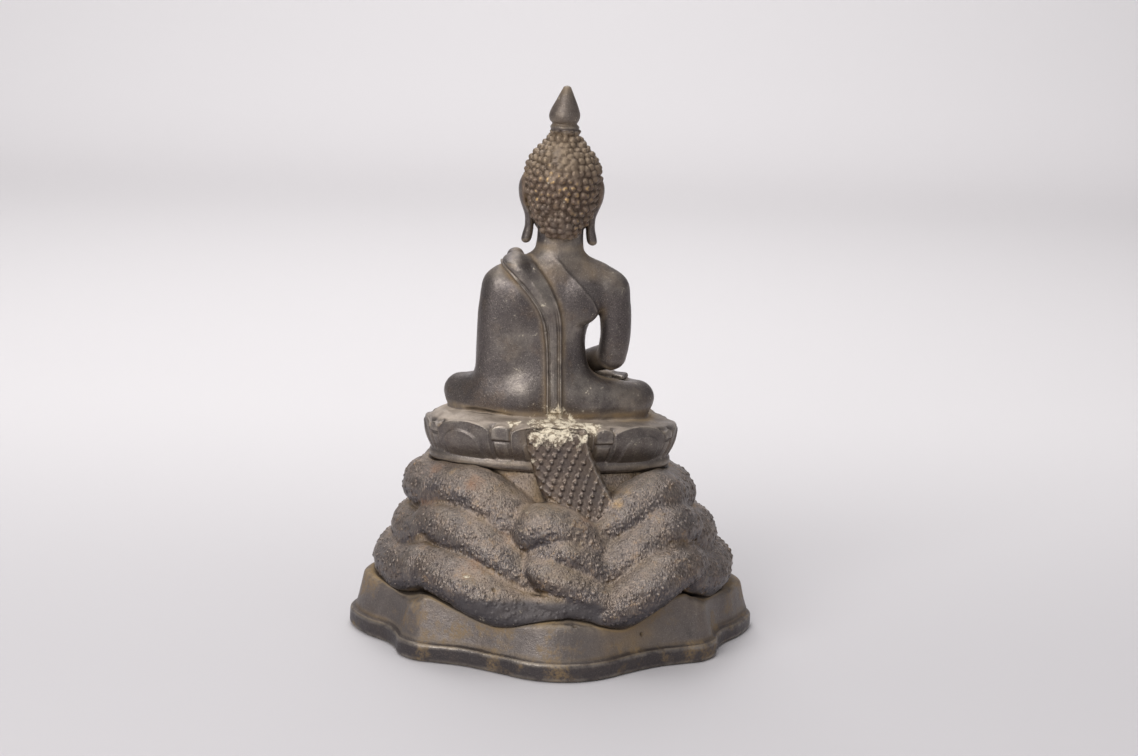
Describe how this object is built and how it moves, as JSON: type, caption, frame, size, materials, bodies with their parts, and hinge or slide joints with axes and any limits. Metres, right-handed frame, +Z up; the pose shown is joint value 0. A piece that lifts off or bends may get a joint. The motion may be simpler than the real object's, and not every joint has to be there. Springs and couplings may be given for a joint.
{
  "type": "naga buddha",
  "caption": "Small cast bronze buddha seated in meditation on a lotus seat above tiers of naga coils, with the naga's broken neck behind and a lobed plinth below.",
  "frame": {"origin": "on the ground under the middle of the plinth", "axes": "+Z up; the figure faces -Y, and its left side is +X"},
  "size_m": [0.2038, 0.1738, 0.2716],
  "materials": {
    "figure_bronze": "dark smooth patina, dirt in the recesses",
    "coil_bronze": "dark pitted patina, brown dirt in the joints",
    "plinth_bronze": "dark satin patina, worn edges"
  },
  "bodies": {
    "root": {"buddha_on_lotus_seat": "figure_bronze", "naga_coils_and_neck": "coil_bronze", "plinth": "plinth_bronze"}
  },
  "joints": []
}
